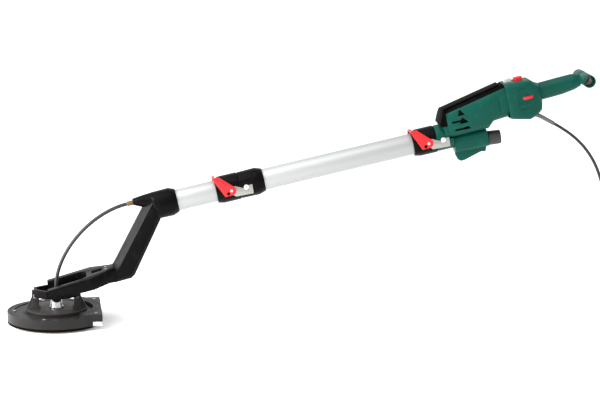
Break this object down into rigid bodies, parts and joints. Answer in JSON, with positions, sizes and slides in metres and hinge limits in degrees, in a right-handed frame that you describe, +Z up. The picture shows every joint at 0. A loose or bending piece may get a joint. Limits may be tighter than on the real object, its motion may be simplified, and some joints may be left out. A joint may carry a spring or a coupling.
{
  "type": "pole drywall sander",
  "caption": "Long-reach electric drywall sander: round brush-skirted disc head on a gimbal, cranked arm, aluminium extension pole with quick latches, motor unit and T handle.",
  "frame": {"origin": "centre of the sanding face, on the disc's axis, with the head flat on the work", "axes": "+Z up, square to the sanding face; +X from the head towards the T handle; the pole lies in the XZ plane"},
  "size_m": [1.71, 0.3143, 0.6204],
  "materials": {
    "green_plastic": "semi-gloss moulded plastic with a fine grain",
    "black_plastic": "semi-gloss glass-filled plastic",
    "shroud_plastic": "matt moulded plastic",
    "red_plastic": "glossy moulded plastic",
    "grey_plastic": "matt moulded plastic",
    "tube_aluminium": "clear anodised, drawn along its length",
    "zinc_plate": "stamped plate, dull zinc",
    "white_plastic": "glossy cap on a steel shank",
    "machined_steel": "turned and ground",
    "stator_steel": "stacked laminations",
    "winding_copper": "wound copper on a steel stack",
    "ferrule_brass": "turned brass",
    "casing_rubber": "ribbed rubber over a wound steel core",
    "nozzle_rubber": "matt rubber",
    "pad_foam": "dense foam on a plate",
    "abrasive": "hook-backed abrasive paper",
    "black_bristle": "dense nylon bristle",
    "clear_bristle": "dense pale bristle",
    "board": "printed board",
    "boot_rubber": "matt rubber",
    "cord_rubber": "matt rubber sheath",
    "plug_plastic": "moulded rubbery plastic"
  },
  "bodies": {
    "motor_unit": {"motor_shell_left": "green_plastic", "motor_shell_right": "green_plastic", "nose_cap": "black_plastic", "tube_socket": "green_plastic", "socket_stud_left": "white_plastic", "socket_stud_right": "white_plastic", "dust_duct": "green_plastic", "control_housing": "green_plastic", "handle_shell_left": "green_plastic", "handle_shell_right": "green_plastic", "stator": "stator_steel", "front_bearing": "machined_steel", "rear_bearing": "machined_steel", "output_bearing": "machined_steel", "speed_board": "board", "cord_boot": "boot_rubber", "cord_run": "cord_rubber", "cord_coil": "cord_rubber", "cord_tie": "plug_plastic", "cord_tail": "cord_rubber", "mains_plug": "plug_plastic"},
    "nozzle": {"dust_nozzle": "nozzle_rubber"},
    "armature": {"armature": "winding_copper", "cooling_fan": "black_plastic", "drive_pinion": "machined_steel"},
    "output_shaft": {"output_gear": "machined_steel"},
    "start_button": {"start_button": "grey_plastic"},
    "stop_button": {"stop_button": "red_plastic"},
    "speed_wheel": {"speed_wheel": "red_plastic"},
    "extension": {"extension_tube": "tube_aluminium", "extension_socket": "black_plastic", "extension_stud_left": "white_plastic", "extension_stud_right": "white_plastic", "upper_sleeve": "black_plastic"},
    "upper_latch": {"upper_latch": "red_plastic"},
    "upper_hooks": {"upper_hook_left": "zinc_plate", "upper_hook_right": "zinc_plate"},
    "upper_rod": {"upper_drive_rod": "machined_steel"},
    "arm": {"lower_tube": "tube_aluminium", "lower_sleeve": "black_plastic", "head_arm": "black_plastic", "flex_ferrule": "ferrule_brass", "flex_casing": "casing_rubber", "fork": "black_plastic"},
    "lower_latch": {"lower_latch": "red_plastic"},
    "lower_hooks": {"lower_hook_left": "zinc_plate", "lower_hook_right": "zinc_plate"},
    "lower_rod": {"lower_drive_rod": "machined_steel"},
    "gimbal_ring": {"gimbal_ring": "black_plastic"},
    "head": {"shroud": "shroud_plastic", "head_carrier": "black_plastic", "spindle_housing": "machined_steel", "brush_ring": "black_bristle"},
    "edge": {"edge_segment": "shroud_plastic", "edge_brush": "clear_bristle"},
    "pad": {"pad_spindle": "machined_steel", "backing_pad": "pad_foam", "abrasive_disc": "abrasive"}
  },
  "joints": [
    {"name": "nozzle_swivel", "type": "hinge", "parent": "motor_unit", "child": "nozzle", "pos_m": [1.10842, 0, 0.45356], "axis": [0.9938, 0, 0.1111], "continuous": true},
    {"name": "armature_spin", "type": "hinge", "parent": "motor_unit", "child": "armature", "pos_m": [1.02158, 0, 0.51333], "axis": [-0.9767, 0, -0.2144], "continuous": true},
    {"name": "output_spin", "type": "hinge", "parent": "motor_unit", "child": "output_shaft", "pos_m": [0.93914, 0, 0.46913], "axis": [-0.9767, 0, -0.2144], "continuous": true},
    {"name": "start_press", "type": "slide", "parent": "motor_unit", "child": "start_button", "axis": [0.2144, 0, -0.9767], "range_m": [0, 0.002], "stiffness_N_per_m": 1200, "springref_m": -0.001},
    {"name": "stop_press", "type": "slide", "parent": "motor_unit", "child": "stop_button", "axis": [0.2144, 0, -0.9767], "range_m": [0, 0.002], "stiffness_N_per_m": 1200, "springref_m": -0.001},
    {"name": "speed_turn", "type": "hinge", "parent": "motor_unit", "child": "speed_wheel", "pos_m": [1.20524, -0.027, 0.56286], "axis": [-0.2144, 0, 0.9767], "range_deg": [-110, 110]},
    {"name": "extension_release", "type": "slide", "parent": "motor_unit", "child": "extension", "axis": [-0.9767, 0, -0.2144], "range_m": [0, 0.008]},
    {"name": "upper_lever", "type": "hinge", "parent": "extension", "child": "upper_latch", "pos_m": [0.9433, 0, 0.44086], "axis": [0, 1, 0], "range_deg": [0, 52]},
    {"name": "upper_hook_swing", "type": "hinge", "parent": "upper_latch", "child": "upper_hooks", "pos_m": [0.9508, 0, 0.44865], "axis": [0, 1, 0], "range_deg": [-39, 0]},
    {"name": "upper_rod_spin", "type": "hinge", "parent": "extension", "child": "upper_rod", "pos_m": [0.67933, 0, 0.4121], "axis": [-0.9767, 0, -0.2144], "continuous": true},
    {"name": "arm_release", "type": "slide", "parent": "extension", "child": "arm", "axis": [-0.9767, 0, -0.2144], "range_m": [0, 0.008]},
    {"name": "lower_lever", "type": "hinge", "parent": "arm", "child": "lower_latch", "pos_m": [0.43832, 0, 0.33002], "axis": [0, 1, 0], "range_deg": [0, 52]},
    {"name": "lower_hook_swing", "type": "hinge", "parent": "lower_latch", "child": "lower_hooks", "pos_m": [0.44583, 0, 0.33781], "axis": [0, 1, 0], "range_deg": [-39, 0]},
    {"name": "lower_rod_spin", "type": "hinge", "parent": "arm", "child": "lower_rod", "pos_m": [0.33747, 0, 0.33706], "axis": [-0.9767, 0, -0.2144], "continuous": true},
    {"name": "head_pitch", "type": "hinge", "parent": "arm", "child": "gimbal_ring", "pos_m": [0, 0, 0.08], "axis": [0, 1, 0], "range_deg": [-20, 45], "deforming": ["flex_casing"]},
    {"name": "head_roll", "type": "hinge", "parent": "gimbal_ring", "child": "head", "pos_m": [0, 0, 0.08], "axis": [1, 0, 0], "range_deg": [-12, 12]},
    {"name": "edge_slide", "type": "slide", "parent": "head", "child": "edge", "axis": [1, 0, 0], "range_m": [0, 0.03]},
    {"name": "pad_spin", "type": "hinge", "parent": "head", "child": "pad", "pos_m": [0, 0, 0], "axis": [0, 0, -1], "continuous": true}
  ],
  "couplings": [
    {"joint": "armature_spin", "follows": "pad_spin", "ratio": -3.25},
    {"joint": "output_spin", "follows": "pad_spin", "ratio": 1},
    {"joint": "upper_rod_spin", "follows": "pad_spin", "ratio": 1},
    {"joint": "lower_rod_spin", "follows": "pad_spin", "ratio": 1},
    {"joint": "upper_lever", "follows": "extension_release", "rad_per_m": 113.45},
    {"joint": "upper_hook_swing", "follows": "extension_release", "rad_per_m": -85.085},
    {"joint": "lower_lever", "follows": "arm_release", "rad_per_m": 113.45},
    {"joint": "lower_hook_swing", "follows": "arm_release", "rad_per_m": -85.085}
  ]
}
